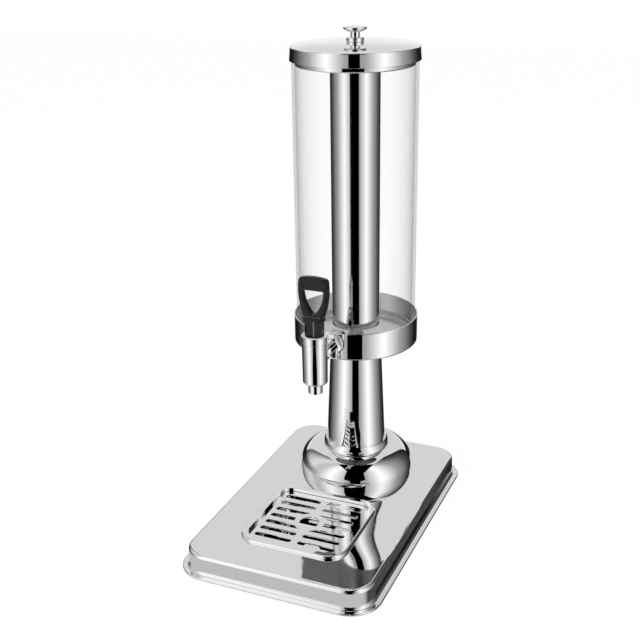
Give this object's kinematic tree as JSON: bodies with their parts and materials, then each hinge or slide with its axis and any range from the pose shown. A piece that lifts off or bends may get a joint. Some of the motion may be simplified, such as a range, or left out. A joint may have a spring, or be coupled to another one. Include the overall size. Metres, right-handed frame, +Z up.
{
  "type": "drink dispenser",
  "caption": "Counter-top drink dispenser: clear upright tank with an ice tube and lid, on a tapered column and hollow base, with a lever tap and a lift-out drip tray.",
  "frame": {"origin": "middle of the base's footprint, on the table", "axes": "+Z up; the tap and drip tray face -Y; +X to the right seen from the front, looking along +Y"},
  "size_m": [0.216, 0.324, 0.5191],
  "materials": {
    "polished_steel": "mirror-polished stainless steel",
    "plain_steel": "plain steel, hidden",
    "clear_plastic": "clear, polished",
    "black_plastic": "moulded, satin black",
    "black_rubber": "matt",
    "silicone": "matt, milky white"
  },
  "bodies": {
    "base": {"base_tray": "polished_steel", "base_feet": "black_rubber", "backing_plate": "plain_steel", "hub_floor": "polished_steel", "hub_dome": "polished_steel", "column_collar": "polished_steel", "column": "polished_steel", "column_cap": "plain_steel", "tie_rod": "plain_steel", "tie_rod_nuts": "plain_steel", "tie_rod_washers": "plain_steel", "floor_seal_washer": "silicone", "tank_cup": "polished_steel", "tank_seal": "silicone", "tank_tube": "clear_plastic", "tap_shank": "polished_steel", "shank_outer_washer": "silicone", "shank_spacer_ring": "silicone", "shank_inner_washer": "silicone", "shank_flange_nut": "polished_steel", "shank_back_nut": "plain_steel", "tap_body": "polished_steel", "tap_spout": "polished_steel", "tap_bonnet": "polished_steel"},
    "handle": {"tap_handle": "black_plastic"},
    "valve": {"valve_stem": "plain_steel", "handle_pin": "plain_steel", "seat_cup": "silicone"},
    "ice_tube_unit": {"ice_tube_plate": "polished_steel", "ice_tube": "polished_steel", "ice_tube_end_cap": "polished_steel"},
    "lid": {"lid_shell": "polished_steel", "lid_knob": "polished_steel", "lid_knob_washer": "plain_steel", "lid_knob_screw": "plain_steel"},
    "tray": {"drip_tray": "polished_steel"},
    "grille": {"drip_grille": "polished_steel"}
  },
  "joints": [
    {"name": "tap_handle_tip", "type": "hinge", "parent": "base", "child": "handle", "pos_m": [0, -0.0405, 0.2286], "axis": [1, 0, 0], "range_deg": [0, 30], "stiffness_Nm_per_rad": 0.5, "springref_deg": -17.19},
    {"name": "valve_lift", "type": "slide", "parent": "base", "child": "valve", "axis": [0, 0, 1], "range_m": [0, 0.0044], "deforming": ["seat_cup"]},
    {"name": "ice_tube_lift", "type": "slide", "parent": "base", "child": "ice_tube_unit", "axis": [0, 0, 1], "range_m": [0, 0.3]},
    {"name": "lid_lift", "type": "slide", "parent": "ice_tube_unit", "child": "lid", "axis": [0, 0, 1], "range_m": [0, 0.05]},
    {"name": "drip_tray_lift", "type": "slide", "parent": "base", "child": "tray", "axis": [0, 0, 1], "range_m": [0, 0.03]},
    {"name": "grille_lift", "type": "slide", "parent": "tray", "child": "grille", "axis": [0, 0, 1], "range_m": [0, 0.02]}
  ],
  "couplings": [
    {"joint": "tap_handle_tip", "follows": "valve_lift", "rad_per_m": 119.08}
  ]
}
